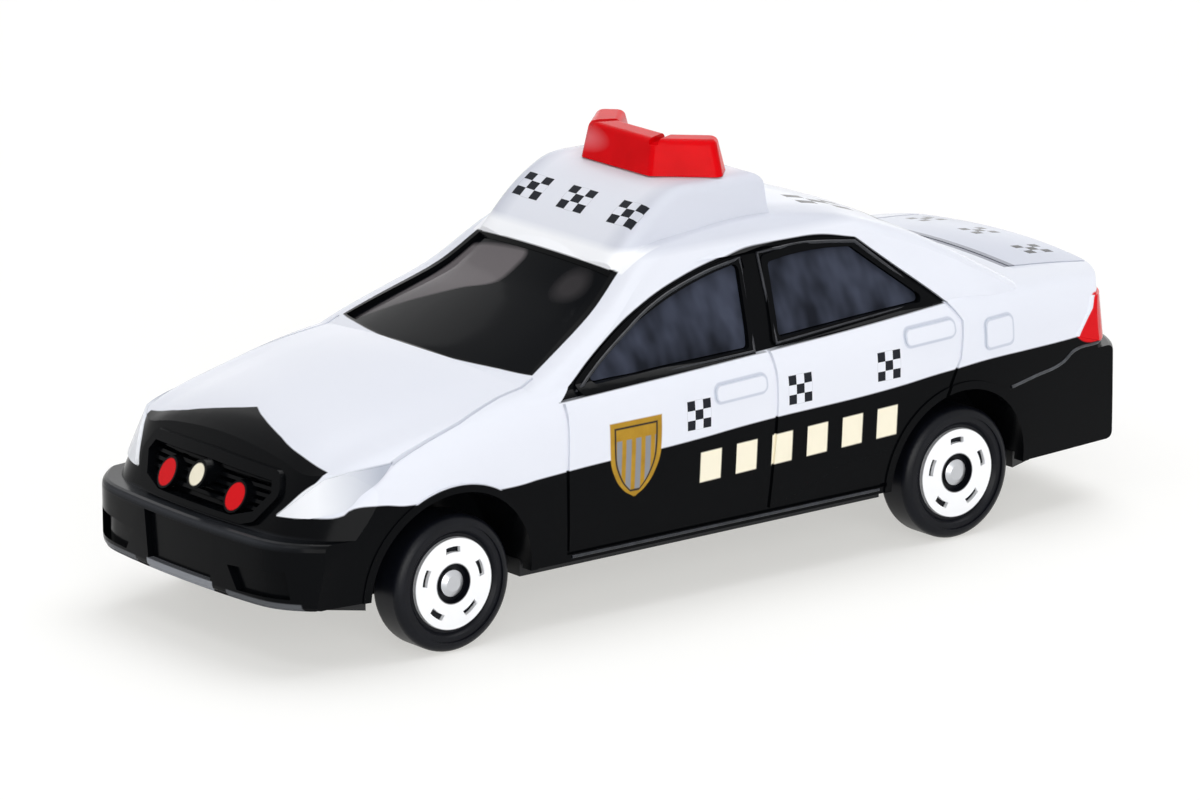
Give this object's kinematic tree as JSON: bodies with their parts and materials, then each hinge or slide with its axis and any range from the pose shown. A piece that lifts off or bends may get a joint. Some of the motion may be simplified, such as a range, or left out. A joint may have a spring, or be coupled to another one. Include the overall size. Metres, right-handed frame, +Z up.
{
  "type": "toy patrol car",
  "caption": "Die-cast toy patrol car: hollow black and white saloon body, smoked windows, red roof light bar on a pedestal, black base, and wheels that roll on steel axles.",
  "frame": {"origin": "middle of the footprint, on the floor the wheels stand on", "axes": "+Z up, nose towards -Y, the car's left towards +X"},
  "size_m": [0.0287, 0.0768, 0.0306],
  "materials": {
    "body_paint": "gloss enamel, white above and black below",
    "smoke_glazing": "clear smoked plastic",
    "interior_plastic": "moulded",
    "base_plastic": "moulded, satin",
    "red_lens": "clear red, polished",
    "axle_steel": "drawn wire with formed heads",
    "wheel_plastic": "moulded black with a hot-stamped bright disc"
  },
  "bodies": {
    "root": {"body_shell": "body_paint", "glazing": "smoke_glazing", "interior": "interior_plastic", "base_plate": "base_plastic", "light_bar": "red_lens", "axle_front": "axle_steel", "axle_rear": "axle_steel"},
    "wheel_front_left": {"wheel_front_left": "wheel_plastic"},
    "wheel_front_right": {"wheel_front_right": "wheel_plastic"},
    "wheel_rear_left": {"wheel_rear_left": "wheel_plastic"},
    "wheel_rear_right": {"wheel_rear_right": "wheel_plastic"}
  },
  "joints": [
    {"name": "wheel_front_left_spin", "type": "hinge", "parent": "root", "child": "wheel_front_left", "pos_m": [0.01205, -0.02482, 0.00486], "axis": [1, 0, 0], "continuous": true},
    {"name": "wheel_front_right_spin", "type": "hinge", "parent": "root", "child": "wheel_front_right", "pos_m": [-0.01205, -0.02482, 0.00486], "axis": [1, 0, 0], "continuous": true},
    {"name": "wheel_rear_left_spin", "type": "hinge", "parent": "root", "child": "wheel_rear_left", "pos_m": [0.01205, 0.02037, 0.00486], "axis": [1, 0, 0], "continuous": true},
    {"name": "wheel_rear_right_spin", "type": "hinge", "parent": "root", "child": "wheel_rear_right", "pos_m": [-0.01205, 0.02037, 0.00486], "axis": [1, 0, 0], "continuous": true}
  ]
}
